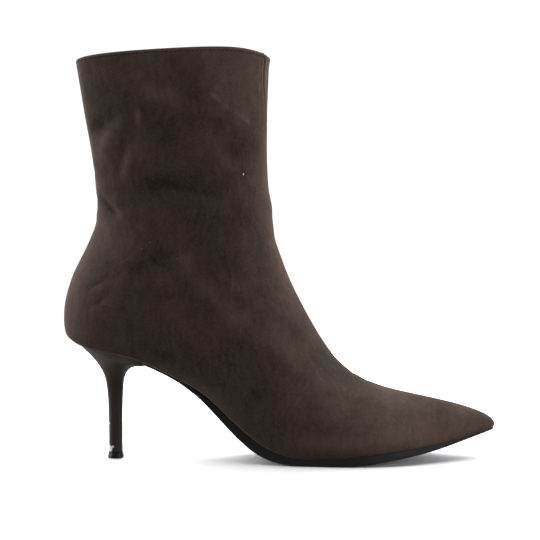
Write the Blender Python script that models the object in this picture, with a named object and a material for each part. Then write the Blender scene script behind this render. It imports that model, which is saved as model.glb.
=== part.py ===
"""Suede ankle boot for the right foot, with a pointed toe and a stiletto heel.

Frame: +X from heel to toe, +Y to the inner side of the foot, +Z up, the floor at Z = 0.
The tables are in millimetres, with x counted from the back of the heel and y from the last's axis.
The whole boot is moved at the end, so that the origin lies on the floor under the middle of its box.
"""

import math
from collections import namedtuple

import bmesh
import bpy
import numpy as np

MM = 0.001

# Driving sizes of the boot, in millimetres
LENGTH = 245.0  # back of the heel to the toe tip, level
BALL_WIDTH = 74.0  # across the feather line at the ball
SEAT_HEIGHT = 69.2  # feather line at the back of the heel
TOE_SPRING = 17.8  # feather line at the toe tip
BALL_HEIGHT = 4.6  # feather line at the ball, which is the forepart sole's thickness
COLLAR_BACK = 225.2
COLLAR_FRONT = 227.0
WALL = 2.0  # suede, interlining and lining together
GAP = 0.3  # clearance between pieces that meet
EDGE_ROUND = 0.5  # rounding of the topline, the feather edge, the insole and the tip
INSOLE_THICKNESS = 2.5
INSOLE_TOE_ROOM = 4.0  # how much further the insole stays back from the wall at the toe tip
BREAST_X = 47.6  # front edge of the heel, where the outsole starts
TIP_HEIGHT = 3.2
HALF_BALL = BALL_WIDTH / 2

# How finely the pieces are faceted
AROUND = 64  # points round each ring of the upper
OUTER_RINGS = 30
INNER_RINGS = 20
FEATHER_START = 0.012  # the outside's first section, just above the rounded feather edge
WALL_FOOT = 0.022  # the section where the wall's inside turns into the lasting margin
RING_CROWDING = 1.15  # above 1 the outside's rings crowd towards the sole
SOLE_ACROSS = 7  # points across the outsole

# Outline of the last from the side: each section of the upper runs from the back seam to the front seam.
# share is the section's place between feather line (0) and topline (1), and sag how much of the
# feather line's dip below its own chord the section still follows.
Section = namedtuple("Section", "share back_x back_z front_x front_z sag")
SECTIONS = [
    Section(0.00, 1.8, SEAT_HEIGHT, LENGTH - 1.2, TOE_SPRING, 1.00),
    Section(0.03, 0.6, 72.6, LENGTH, 19.8, 0.97),
    Section(0.08, 0.0, 79.5, 241.6, 24.5, 0.92),
    Section(0.14, 0.5, 87.5, 231.5, 28.5, 0.86),
    Section(0.22, 2.6, 96.6, 214.5, 32.8, 0.78),
    Section(0.30, 5.6, 105.0, 195.0, 37.0, 0.70),
    Section(0.38, 9.3, 112.6, 175.5, 42.4, 0.62),
    Section(0.46, 13.4, 121.0, 158.2, 52.8, 0.54),
    Section(0.54, 17.2, 130.2, 146.0, 68.5, 0.44),
    Section(0.62, 19.1, 138.5, 135.2, 87.5, 0.33),
    Section(0.70, 18.7, 147.5, 125.8, 107.5, 0.22),
    Section(0.78, 17.8, 159.0, 119.2, 131.0, 0.12),
    Section(0.86, 15.5, 177.0, 115.6, 163.0, 0.05),
    Section(0.93, 11.6, 196.7, 115.7, 195.0, 0.00),
    Section(1.00, 6.9, COLLAR_BACK, 117.0, COLLAR_FRONT, 0.00),
]

# Half widths of a section at five stations along its chord, as shares of half the ball width,
# and the radius of its two ends.
STATIONS = {"seat": 0.12, "waist": 0.38, "ball": 0.62, "vamp": 0.78, "toe": 0.92}
Girth = namedtuple("Girth", "share back_radius seat waist ball vamp toe front_radius")
GIRTHS = [
    Girth(0.00, 22.0, 0.69, 0.65, 0.97, 0.91, 0.42, 3.5),
    Girth(0.06, 23.0, 0.74, 0.76, 1.01, 0.90, 0.42, 5.0),
    Girth(0.14, 22.0, 0.77, 0.83, 0.98, 0.86, 0.44, 4.5),
    Girth(0.30, 19.0, 0.76, 0.88, 0.88, 0.76, 0.47, 5.0),
    Girth(0.46, 15.5, 0.67, 0.87, 0.86, 0.75, 0.49, 10.5),
    Girth(0.62, 13.0, 0.56, 0.79, 0.81, 0.69, 0.45, 13.0),
    Girth(0.80, 14.0, 0.48, 0.73, 0.74, 0.63, 0.42, 15.0),
    Girth(1.00, 18.5, 0.56, 0.84, 0.85, 0.77, 0.56, 26.0),
]

# The last's swing: where the middle of the feather line lies across the axis, positive to the inner side.
SWING = {0.0: 0.0, 0.12: -0.3, 0.38: -3.4, 0.62: -1.4, 0.78: 0.8, 0.92: 1.8, 1.0: 2.2}
SWING_FADE = 1.5  # how fast the swing dies out towards the topline

# The topline's rise above the straight line between its two ends, along the section.
TOPLINE_RISE = {0.0: 0.0, 0.3: 0.7, 0.62: 1.9, 0.85: 1.8, 1.0: 0.0}
TOPLINE_START = 0.8  # section from which the sections begin to follow that rise

# Feather line from the side: heel seat, arch, ball and toe spring.
FEATHER = {
    1.8: SEAT_HEIGHT,
    10.0: 65.0,
    25.0: 61.2,
    45.0: 56.9,
    60.0: 50.6,
    76.0: 41.2,
    93.0: 27.2,
    108.0: 15.0,
    122.0: 7.0,
    136.0: BALL_HEIGHT,
    152.0: BALL_HEIGHT,
    170.0: 5.9,
    190.0: 7.8,
    212.0: 10.5,
    230.0: 14.0,
    LENGTH - 1.2: TOE_SPRING,
}

# Underside of the outsole: behind, on and in front of the flat spot that it stands on.
TREAD_BACK = 132.0
TREAD_FRONT = 162.0
TREAD_REAR = {
    48.0: 54.0,
    60.0: 48.8,
    76.0: 38.4,
    93.0: 20.9,
    101.0: 12.7,
    112.0: 4.9,
    122.0: 1.1,
    TREAD_BACK: 0.0,
}
TREAD_FORE = {TREAD_FRONT: 0.0, 177.0: 2.1, 200.0: 5.5, 224.0: 10.7, LENGTH: 16.2}

# The outsole's edge lies this far inside the feather line at the waist and in the forepart, blending along x.
WAIST_INSET = 3.0
FOREPART_INSET = 0.4
INSET_BLEND = (75.0, 125.0)
SOLE_TOE_INSET = 1.9  # the outsole ends this far behind the toe tip
REAR_STATIONS = 15
FLAT_STATIONS = 4
FORE_STATIONS = 14

# The lasting margin, turned in under the insole. It is wider at the heel, which is set in from the back.
MARGIN = 9.0
MARGIN_HEEL = 13.0
MARGIN_BLEND = (40.0, 80.0)  # from heel width to forepart width, along x
MARGIN_REACH = 0.8  # the margin never takes more than this share of the way to the spine
MARGIN_FILLET = 0.6  # the rounding between wall and margin on the inside
SPINE_BACK = 26.0  # the margin draws towards a spine that starts and ends this far inside the outline
SPINE_FRONT = 32.0

# Heel: a row for each ring, from the top piece up to the rim under the seat.
Ring = namedtuple("Ring", "back_x back_z front_x front_z half_width")
HEEL_RINGS = [
    Ring(26.0, TIP_HEIGHT + GAP, 32.9, TIP_HEIGHT + GAP, 3.8),
    Ring(26.0, 9.0, 32.8, 9.0, 3.7),
    Ring(25.9, 18.0, 32.8, 18.0, 3.6),
    Ring(25.7, 28.0, 32.8, 28.0, 3.7),
    Ring(25.4, 35.0, 33.0, 35.0, 4.0),
    Ring(24.7, 41.0, 33.3, 41.0, 4.9),
    Ring(23.4, 46.2, 34.1, 46.2, 6.9),
    Ring(21.5, 50.3, 36.4, 50.2, 10.2),
    Ring(18.7, 54.7, 40.0, 52.6, 14.8),
    Ring(15.4, 58.5, 44.0, 53.3, 19.2),
    Ring(11.8, 62.2, 46.9, 53.9, 22.8),
]
HEEL_SEAT = Ring(9.6, 64.0, BREAST_X - GAP / 2, 56.0, 24.4)
HEEL_AROUND = 40
SEAT_SHARES = (1.0, 0.66, 0.33)  # rings that the cupped top is closed with
BREAST_SQUARENESS = 3.2  # superellipse power of the heel's front; its back is round

# Top piece of the heel
TIP_BACK = 25.4
TIP_FRONT = 33.5
TIP_HALF_WIDTH = 4.5
TIP_TAPER = 0.93

SHARP_ANGLE = math.radians(40)  # edges bent more than this are shaded sharp
COLOURS = {
    "suede": (0.055, 0.040, 0.031),
    "heel_leather": (0.045, 0.033, 0.028),
    "sole_rubber": (0.012, 0.012, 0.013),
    "tip_plastic": (0.008, 0.008, 0.009),
    "insole_leather": (0.16, 0.12, 0.09),
}
ROUGHNESS = {"suede": 0.95, "heel_leather": 0.45, "sole_rubber": 0.6, "tip_plastic": 0.5, "insole_leather": 0.7}


class Spline:
    """Cubic spline through a table, with free ends or with given end slopes."""

    def __init__(self, knots, values, start_slope=None, end_slope=None):
        self.x = np.array(knots, float)
        self.y = np.array(values, float)
        count = len(self.x)
        step = np.diff(self.x)
        rise = np.diff(self.y) / step
        system = np.eye(count)
        right = np.zeros(count)
        for i in range(1, count - 1):
            system[i, i - 1 : i + 2] = step[i - 1], 2 * (step[i - 1] + step[i]), step[i]
            right[i] = 6 * (rise[i] - rise[i - 1])
        if start_slope is not None:
            system[0, :2] = 2 * step[0], step[0]
            right[0] = 6 * (rise[0] - start_slope)
        if end_slope is not None:
            system[-1, -2:] = step[-1], 2 * step[-1]
            right[-1] = 6 * (end_slope - rise[-1])
        self.bend = np.linalg.solve(system, right)

    def __call__(self, at):
        at = np.asarray(at, float)
        i = np.clip(np.searchsorted(self.x, at) - 1, 0, len(self.x) - 2)
        step = self.x[i + 1] - self.x[i]
        a = (self.x[i + 1] - at) / step
        b = (at - self.x[i]) / step
        cubic = (a**3 - a) * self.bend[i] + (b**3 - b) * self.bend[i + 1]
        return a * self.y[i] + b * self.y[i + 1] + cubic * step**2 / 6


def column_splines(rows):
    """A spline over share for every other column of a table."""
    shares = [row.share for row in rows]
    return {name: Spline(shares, [getattr(row, name) for row in rows]) for name in rows[0]._fields[1:]}


def smoothstep(low, high, at):
    t = np.clip((np.asarray(at, float) - low) / (high - low), 0, 1)
    return t * t * (3 - 2 * t)


section_at = column_splines(SECTIONS)
girth_at = column_splines(GIRTHS)
swing_at = Spline(list(SWING), list(SWING.values()))
topline_rise = Spline(list(TOPLINE_RISE), list(TOPLINE_RISE.values()))
feather_height = Spline(list(FEATHER), list(FEATHER.values()))
tread_rear = Spline(list(TREAD_REAR), list(TREAD_REAR.values()), end_slope=0)
tread_fore = Spline(list(TREAD_FORE), list(TREAD_FORE.values()), start_slope=0)

FEATHER_BACK = SECTIONS[0].back_x
FEATHER_SPAN = SECTIONS[0].front_x - FEATHER_BACK


def tread_height(x):
    """Height of the outsole's underside."""
    x = np.asarray(x, float)
    return np.where(x < TREAD_BACK, tread_rear(x), np.where(x > TREAD_FRONT, tread_fore(x), 0.0))


def half_width(along, share):
    """Half width of a section at a share of its chord, with round ends of the radii in the table."""
    chord = section_at["front_x"](share) - section_at["back_x"](share)
    places = [0.0, *STATIONS.values(), 1.0]
    fullness = [math.sqrt(2 * girth_at["back_radius"](share) * chord) / 2]
    for name, place in STATIONS.items():
        fullness.append(HALF_BALL * girth_at[name](share) / (2 * math.sqrt(place * (1 - place))))
    fullness.append(math.sqrt(2 * girth_at["front_radius"](share) * chord) / 2)
    return 2 * np.sqrt(along * (1 - along)) * Spline(places, fullness)(along)


def last_surface(angle, share):
    """Points on the outside of the upper: angle runs round the boot from the back seam, lateral side first."""
    angle = np.asarray(angle, float)
    along = (1 - np.cos(angle)) / 2
    side = np.where(np.sin(angle) >= 0, -1.0, 1.0)
    edge = {name: spline(share) for name, spline in section_at.items()}
    x = edge["back_x"] + (edge["front_x"] - edge["back_x"]) * along
    chord = edge["back_z"] + (edge["front_z"] - edge["back_z"]) * along
    dip = feather_height(FEATHER_BACK + FEATHER_SPAN * along) - (SEAT_HEIGHT + (TOE_SPRING - SEAT_HEIGHT) * along)
    rise = topline_rise(along) * smoothstep(TOPLINE_START, 1.0, share)
    middle = swing_at(along) * (1 - share) ** SWING_FADE
    y = middle + side * half_width(along, share)
    return np.stack([x, y, chord + edge["sag"] * dip + rise], axis=-1)


def last_normal(angle, share):
    """Outward unit normals of the last's surface."""
    tiny = 1e-4
    low = max(share - tiny, 0.0)
    high = min(share + tiny, 1.0)
    round_way = last_surface(angle + tiny, share) - last_surface(angle - tiny, share)
    up_way = last_surface(angle, high) - last_surface(angle, low)
    normal = np.cross(round_way, up_way)
    return normal / np.linalg.norm(normal, axis=-1, keepdims=True)


def draw_in(ring, distance):
    """A ring of the bottom outline moved in by a distance, towards the foot's spine."""
    along = (ring[:, 0] - FEATHER_BACK) / FEATHER_SPAN
    spine = ring.copy()
    spine[:, 0] = FEATHER_BACK + SPINE_BACK + along * (FEATHER_SPAN - SPINE_BACK - SPINE_FRONT)
    spine[:, 1] = swing_at(np.clip(along, 0, 1))
    way = spine - ring
    length = np.linalg.norm(way[:, :2], axis=1)
    share = np.minimum(distance / length, MARGIN_REACH)
    return ring + way * share[:, None]


def on_bottom(ring, lift):
    """The same ring laid at a height above the feather line's own surface."""
    laid = ring.copy()
    laid[:, 2] = feather_height(ring[:, 0]) + lift
    return laid


def ring_angles(count):
    return np.arange(count) * 2 * math.pi / count


def add_object(name, bm, material):
    bmesh.ops.recalc_face_normals(bm, faces=bm.faces)
    mesh = bpy.data.meshes.new(name)
    bm.to_mesh(mesh)
    bm.free()
    mesh.materials.append(material)
    mesh.shade_smooth()
    mesh.set_sharp_from_angle(angle=SHARP_ANGLE)
    obj = bpy.data.objects.new(name, mesh)
    bpy.context.scene.collection.objects.link(obj)
    return obj


def add_ring(bm, points):
    return [bm.verts.new(point * MM) for point in points]


def bridge(bm, ring, following):
    """Quads between two rings of as many points."""
    count = len(ring)
    for i in range(count):
        j = (i + 1) % count
        bm.faces.new((ring[i], ring[j], following[j], following[i]))


def upper_rings():
    """Closed profile of the upper's wall, ring by ring: outside, topline, inside and lasting margin."""
    angle = ring_angles(AROUND)
    outer_shares = FEATHER_START + (1 - FEATHER_START) * np.linspace(0, 1, OUTER_RINGS) ** RING_CROWDING
    inner_shares = np.linspace(1.0, WALL_FOOT, INNER_RINGS)
    rings = [last_surface(angle, share) for share in outer_shares[:-1]]

    # The topline's folded edge is rounded over the wall
    top = last_surface(angle, 1.0)
    inward = -last_normal(angle, 1.0) * WALL
    below = np.array([0, 0, EDGE_ROUND])
    rings.append(top - below)
    rings.append(top + inward * EDGE_ROUND / WALL)
    rings.append(top + inward * (1 - EDGE_ROUND / WALL))
    rings.append(top + inward - below)

    for share in inner_shares[1:]:
        rings.append(last_surface(angle, share) - last_normal(angle, share) * WALL)

    # The lasting margin lies on the feather line's surface, as thick as the wall
    feather = last_surface(angle, 0.0)
    heel_share = 1 - smoothstep(*MARGIN_BLEND, feather[:, 0])
    width = MARGIN + (MARGIN_HEEL - MARGIN) * heel_share
    rings.append(on_bottom(draw_in(feather, WALL + MARGIN_FILLET), WALL))
    rings.append(on_bottom(draw_in(feather, (WALL + width) / 2), WALL))
    rings.append(on_bottom(draw_in(feather, width), WALL))
    rings.append(on_bottom(draw_in(feather, width), 0.0))
    rings.append(on_bottom(draw_in(feather, (WALL + width) / 2), 0.0))
    rings.append(on_bottom(draw_in(feather, WALL), 0.0))
    rings.append(on_bottom(draw_in(feather, EDGE_ROUND), EDGE_ROUND))
    return rings


def make_upper(material):
    """Lateral and medial halves as one wall, open at the collar and underneath."""
    bm = bmesh.new()
    rings = [add_ring(bm, ring) for ring in upper_rings()]
    for ring, following in zip(rings, rings[1:] + rings[:1]):
        bridge(bm, ring, following)
    return add_object("upper", bm, material)


def make_insole(material):
    """Slab that lies on the lasting margin, its edge just inside the wall."""
    angle = ring_angles(AROUND)
    feather = last_surface(angle, 0.0)
    toe_room = smoothstep(STATIONS["ball"], 1.0, (feather[:, 0] - FEATHER_BACK) / FEATHER_SPAN)
    edge = draw_in(feather, WALL + MARGIN_FILLET + GAP + INSOLE_TOE_ROOM * toe_room)
    bottom = WALL + GAP
    top = bottom + INSOLE_THICKNESS
    bm = bmesh.new()
    rings = []
    for lift, inset in ((bottom, 0.0), (top - EDGE_ROUND, 0.0), (top, EDGE_ROUND)):
        rings.append(add_ring(bm, on_bottom(draw_in(edge, inset), lift)))
    for ring, following in zip(rings, rings[1:]):
        bridge(bm, ring, following)
    for ring in (rings[0], rings[-1]):
        close_across(bm, ring)
    return add_object("insole", bm, material)


def close_across(bm, ring):
    """Closes a ring of the bottom with strips from the lateral edge to the medial edge."""
    half = len(ring) // 2
    for i in range(half):
        lateral = (ring[i], ring[i + 1])
        medial = (ring[-i], ring[-(i + 1)])
        corners = list(dict.fromkeys((*lateral, *reversed(medial))))
        bm.faces.new(corners)


def outsole_profile(x):
    """Cross-section of the outsole at x: flat top, bevelled tread edge."""
    along = (x - FEATHER_BACK) / FEATHER_SPAN
    inset = WAIST_INSET + (FOREPART_INSET - WAIST_INSET) * smoothstep(*INSET_BLEND, x)
    half = half_width(np.array(along), 0.0) - inset
    middle = swing_at(along)
    top = feather_height(x) - GAP
    bottom = tread_height(x)
    bevel = min(EDGE_ROUND, (top - bottom) / 3)
    tread_half = half - bevel
    shares = np.linspace(-1, 1, SOLE_ACROSS)
    loop = [(x, middle + half * share, top) for share in shares]
    loop.append((x, middle + half, bottom + bevel))
    loop += [(x, middle - tread_half * share, bottom) for share in shares]
    loop.append((x, middle - half, bottom + bevel))
    return np.array(loop, float)


def make_outsole(material):
    """Thin sole from the heel breast to the toe, flat where it stands."""
    start = BREAST_X + GAP
    end = LENGTH - SOLE_TOE_INSET
    rear = np.linspace(start, TREAD_BACK, REAR_STATIONS)
    flat = np.linspace(TREAD_BACK, TREAD_FRONT, FLAT_STATIONS)
    fore = TREAD_FRONT + (end - TREAD_FRONT) * np.sin(np.linspace(0, math.pi / 2, FORE_STATIONS))
    stations = [*rear, *flat[1:], *fore[1:]]
    bm = bmesh.new()
    rings = [add_ring(bm, outsole_profile(x)) for x in stations]
    for ring, following in zip(rings, rings[1:]):
        bridge(bm, ring, following)
    bm.faces.new(rings[0])
    bm.faces.new(rings[-1])
    return add_object("outsole", bm, material)


def heel_loop(ring, count):
    """One ring of the heel: round at the back, squarer at the breast."""
    angle = ring_angles(count)
    reach = np.cos(angle)
    power = np.where(reach > 0, BREAST_SQUARENESS, 2.0)
    reach_size = np.abs(reach) ** (2 / power)
    side_size = np.abs(np.sin(angle)) ** (2 / power)
    centre = (ring.back_x + ring.front_x) / 2
    x = centre + (ring.front_x - ring.back_x) / 2 * np.sign(reach) * reach_size
    along = (x - ring.back_x) / (ring.front_x - ring.back_x)
    y = ring.half_width * np.sign(np.sin(angle)) * side_size
    z = ring.back_z + (ring.front_z - ring.back_z) * along
    return np.stack([x, y, z], axis=-1)


def make_heel(material):
    """Covered stiletto heel, its top cupped to the seat."""
    bm = bmesh.new()
    rings = [add_ring(bm, heel_loop(ring, HEEL_AROUND)) for ring in HEEL_RINGS]
    seat = on_bottom(heel_loop(HEEL_SEAT, HEEL_AROUND), -GAP)
    centre = seat.mean(axis=0)
    for share in SEAT_SHARES:
        inner = centre + (seat - centre) * share
        rings.append(add_ring(bm, on_bottom(inner, -GAP)))
    for ring, following in zip(rings, rings[1:]):
        bridge(bm, ring, following)
    bm.faces.new(rings[0])
    middle = bm.verts.new(on_bottom(centre[None, :], -GAP)[0] * MM)
    last = rings[-1]
    for i in range(HEEL_AROUND):
        bm.faces.new((last[i], last[(i + 1) % HEEL_AROUND], middle))
    return add_object("heel", bm, material)


def make_heel_tip(material):
    """Top piece that the heel stands on."""
    full = Ring(TIP_BACK, 0.0, TIP_FRONT, 0.0, TIP_HALF_WIDTH)
    loop = heel_loop(full, HEEL_AROUND)
    centre = loop.mean(axis=0)
    bm = bmesh.new()
    rings = []
    for height, share in ((0.0, 1 - EDGE_ROUND / TIP_HALF_WIDTH), (EDGE_ROUND, 1.0), (TIP_HEIGHT, TIP_TAPER)):
        points = centre + (loop - centre) * share
        points[:, 2] = height
        rings.append(add_ring(bm, points))
    for ring, following in zip(rings, rings[1:]):
        bridge(bm, ring, following)
    bm.faces.new(rings[0])
    bm.faces.new(rings[-1])
    return add_object("heel_tip", bm, material)


def make_material(name):
    material = bpy.data.materials.new(name)
    material.use_nodes = True
    shader = material.node_tree.nodes["Principled BSDF"]
    shader.inputs["Base Color"].default_value = (*COLOURS[name], 1)
    shader.inputs["Roughness"].default_value = ROUGHNESS[name]
    shader.inputs["Metallic"].default_value = 0.0
    return material


def main():
    for obj in list(bpy.data.objects):
        bpy.data.objects.remove(obj)
    material = {name: make_material(name) for name in COLOURS}
    upper = make_upper(material["suede"])
    pieces = [
        upper,
        make_insole(material["insole_leather"]),
        make_outsole(material["sole_rubber"]),
        make_heel(material["heel_leather"]),
        make_heel_tip(material["tip_plastic"]),
    ]
    sides = [vertex.co.y for vertex in upper.data.vertices]
    middle_y = (min(sides) + max(sides)) / 2
    boot = bpy.data.objects.new("ankle_boot", None)
    bpy.context.scene.collection.objects.link(boot)
    boot.location = (-LENGTH / 2 * MM, -middle_y, 0)
    for piece in pieces:
        piece.parent = boot


main()
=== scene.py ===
import math

import bmesh
import bpy
import numpy as np
from mathutils import Matrix, Vector
from mathutils.bvhtree import BVHTree
from mathutils.geometry import intersect_point_line
from mathutils.kdtree import KDTree


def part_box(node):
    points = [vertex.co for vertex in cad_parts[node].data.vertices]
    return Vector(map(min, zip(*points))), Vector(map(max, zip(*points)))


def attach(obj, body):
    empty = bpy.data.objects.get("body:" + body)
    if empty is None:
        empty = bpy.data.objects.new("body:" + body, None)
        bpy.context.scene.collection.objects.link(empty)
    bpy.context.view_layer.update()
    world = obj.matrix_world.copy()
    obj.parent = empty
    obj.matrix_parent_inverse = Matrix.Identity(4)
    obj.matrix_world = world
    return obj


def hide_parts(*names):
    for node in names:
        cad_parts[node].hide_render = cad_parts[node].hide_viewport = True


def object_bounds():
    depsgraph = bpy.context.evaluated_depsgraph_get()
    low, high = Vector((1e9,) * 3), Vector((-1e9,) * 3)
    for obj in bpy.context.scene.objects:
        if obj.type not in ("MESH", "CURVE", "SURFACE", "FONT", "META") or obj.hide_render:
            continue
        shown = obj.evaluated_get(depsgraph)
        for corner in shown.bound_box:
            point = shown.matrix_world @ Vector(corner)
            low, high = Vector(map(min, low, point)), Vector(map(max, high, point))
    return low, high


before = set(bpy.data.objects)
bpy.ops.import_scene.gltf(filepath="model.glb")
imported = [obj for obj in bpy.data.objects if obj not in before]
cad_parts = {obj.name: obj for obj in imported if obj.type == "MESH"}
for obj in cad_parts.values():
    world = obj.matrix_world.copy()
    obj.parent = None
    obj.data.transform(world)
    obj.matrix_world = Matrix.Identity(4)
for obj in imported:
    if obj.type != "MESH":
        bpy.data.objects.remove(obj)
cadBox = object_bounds()
mm = 0.001
heelBack = cadBox[0].x  # the shoe's own lengths count from the back of its heel
farOff = 99.0  # mm, stands for nowhere near


# Shared tools

def hexColour(code):
    channels = [int(code[i:i + 2], 16) / 255 for i in (0, 2, 4)]
    linear = [c / 12.92 if c <= 0.04045 else ((c + 0.055) / 1.055) ** 2.4 for c in channels]
    return (*linear, 1.0)


def smoothStep(low, high, value):
    t = np.clip((np.asarray(value, float) - low) / (high - low), 0, 1)
    return t * t * (3 - 2 * t)


def plateau(edges, value):
    # rises over the first two edges and falls again over the last two
    return smoothStep(edges[0], edges[1], value) * (1 - smoothStep(edges[2], edges[3], value))


def bell(distance, width):
    return np.exp(-(np.asarray(distance, float) / width) ** 2)


def addNode(material, kind, inputs=None, **settings):
    tree = material.node_tree
    node = tree.nodes.new("ShaderNode" + kind)
    for name, value in settings.items():
        setattr(node, name, value)
    for socket, value in (inputs or {}).items():
        if isinstance(value, bpy.types.NodeSocket):
            tree.links.new(value, node.inputs[socket])
        else:
            node.inputs[socket].default_value = value
    return node


def newMaterial(name, **constants):
    material = bpy.data.materials.new(name)
    material.use_nodes = True
    shader = material.node_tree.nodes["Principled BSDF"]
    for socket, value in constants.items():
        shader.inputs[socket.replace("_", " ")].default_value = value
    return material, shader


def feedShader(material, shader, sockets):
    for name, socket in sockets.items():
        material.node_tree.links.new(socket, shader.inputs[name])
    return material


def facingDown(normal):
    return smoothStep(0, -0.5, normal[:, 2])


def weldedCopy(nodeName):
    bm = bmesh.new()
    bm.from_mesh(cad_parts[nodeName].data)
    bmesh.ops.remove_doubles(bm, verts=bm.verts, dist=0.001 * mm)
    bmesh.ops.join_triangles(
        bm,
        faces=bm.faces,
        angle_face_threshold=math.radians(40),
        angle_shape_threshold=math.pi,
        topology_influence=2.0,
    )
    return bm


def subdivided(bm, levels, sharpAngle):
    # a baked Subdivision Surface that keeps edges bent more than sharpAngle
    crease = bm.edges.layers.float.new("crease_edge")
    for edge in bm.edges:
        if edge.calc_face_angle(0) > math.radians(sharpAngle):
            edge[crease] = 1.0
    mesh = bpy.data.meshes.new("rough")
    bm.to_mesh(mesh)
    bm.free()
    rough = bpy.data.objects.new("rough", mesh)
    bpy.context.scene.collection.objects.link(rough)
    modifier = rough.modifiers.new("rounding", "SUBSURF")
    modifier.levels = levels
    modifier.render_levels = levels
    fine = bmesh.new()
    fine.from_object(rough, bpy.context.evaluated_depsgraph_get())
    bpy.data.objects.remove(rough)
    bpy.data.meshes.remove(mesh)
    return fine


def shoePlaces(bm):
    # every vertex in the shoe's own mm, and the way its surface faces
    bm.normal_update()
    bm.verts.ensure_lookup_table()
    place = np.array([vertex.co for vertex in bm.verts]) / mm
    place[:, 0] -= heelBack / mm
    normal = np.array([vertex.normal for vertex in bm.verts])
    return place, normal


def moveTo(bm, moved, **marks):
    # puts every vertex in its new place, and keeps a number on it for each mark
    layers = {name: bm.verts.layers.float.new(name) for name in marks}
    for i, vertex in enumerate(bm.verts):
        vertex.co = moved[i] * mm
        vertex.co.x += heelBack
        for name, layer in layers.items():
            vertex[layer] = marks[name][i]


def finishedPiece(name, bm, materials, node=None, sharpAngle=180):
    mesh = bpy.data.meshes.new(name)
    bm.to_mesh(mesh)
    bm.free()
    for material in materials:
        mesh.materials.append(material)
    mesh.shade_smooth()
    mesh.set_sharp_from_angle(angle=math.radians(sharpAngle))
    piece = bpy.data.objects.new(name, mesh)
    bpy.context.scene.collection.objects.link(piece)
    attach(piece, "root")
    if node:
        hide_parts(node)
    print("piece", name, "faces", len(mesh.polygons))
    return piece


# Camera, floor and light

stageSettings = {
    "cameraPlace": (-5.2, -700.0, 106.7),  # mm, level with the ankle and square to the outer side
    "focalPixels": 1229.0,
    "imagePixels": 540,
    "sensor": 36.0,
    "floorSize": 1.8,  # m
    "floorDrop": 0.1,  # mm, keeps the paper just clear of the sole and the heel tip
    "floorColour": "e8e8ea",
    "backdrop": 1.1,
    "roomAbove": 0.03,
    "roomBelow": 0.2,
    "roomFade": 0.2,  # how far below level the room turns from light to dim
    "floorGloss": 0.5,  # the pale floor as polished surfaces mirror it
    "aim": (0.0, 0.0, 0.12),  # m
    # place and size in m, power in W, and one with gloss shows only in polished surfaces
    "softboxes": [
        {"name": "key_softbox", "place": (0.96, -0.96, 0.48), "size": (1.1, 1.1), "power": 16.2},
        {"name": "right_softbox", "place": (1.35, 0.0, 0.48), "size": (1.1, 1.1), "power": 6.5},
        {"name": "right_high_softbox", "place": (0.9, 0.52, 1.06), "size": (1.1, 1.1), "power": 23.5},
        {"name": "left_low_softbox", "place": (-1.4, 0.0, 0.2), "size": (0.4, 0.4), "power": 15.0},
        {"name": "left_high_softbox", "place": (-0.9, 0.52, 1.06), "size": (1.1, 1.1), "power": 28.0},
        {"name": "white_sweep", "place": (0.0, 1.3, 0.25), "size": (3.0, 1.0), "power": 9.4, "gloss": True},
    ],
    "floorWashes": [
        {"name": "top_floor_wash", "place": (0.0, 0.0, 1.5), "size": (2.0, 2.0), "power": 44.0},
        {"name": "front_floor_wash", "place": (0.0, -1.7, 0.4), "size": (4.0, 0.6), "power": 29.0},
        {"name": "back_floor_wash", "place": (0.0, 1.7, 0.4), "size": (4.0, 0.6), "power": 105.0},
        {"name": "back_high_floor_wash", "place": (0.0, 1.3, 1.2), "size": (3.0, 1.0), "power": 51.0},
    ],
}


def makeCamera(s):
    camera = bpy.data.cameras.new("camera")
    camera.sensor_width = s["sensor"]
    camera.lens = s["focalPixels"] / s["imagePixels"] * s["sensor"]
    cameraObject = bpy.data.objects.new("camera", camera)
    cameraObject.location = Vector(s["cameraPlace"]) * mm
    cameraObject.rotation_euler = (math.pi / 2, 0, 0)
    bpy.context.scene.collection.objects.link(cameraObject)
    bpy.context.scene.camera = cameraObject


def makeFloor(s):
    # matt pale paper, so the floor stays white and only the contact shadows show
    paper = newMaterial(
        "matt_white_paper",
        Base_Color=hexColour(s["floorColour"]),
        Roughness=0.9,
        Specular_IOR_Level=0.0,
    )[0]
    bm = bmesh.new()
    bmesh.ops.create_grid(bm, x_segments=1, y_segments=1, size=s["floorSize"] / 2)
    mesh = bpy.data.meshes.new("floor")
    bm.to_mesh(mesh)
    bm.free()
    mesh.materials.append(paper)
    floor = bpy.data.objects.new("floor", mesh)
    floor.location.z = -s["floorDrop"] * mm
    floor.visible_diffuse = False  # the paper throws no light back at the boot, the room does that
    floor.visible_glossy = False
    bpy.context.scene.collection.objects.link(floor)
    return floor


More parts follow.
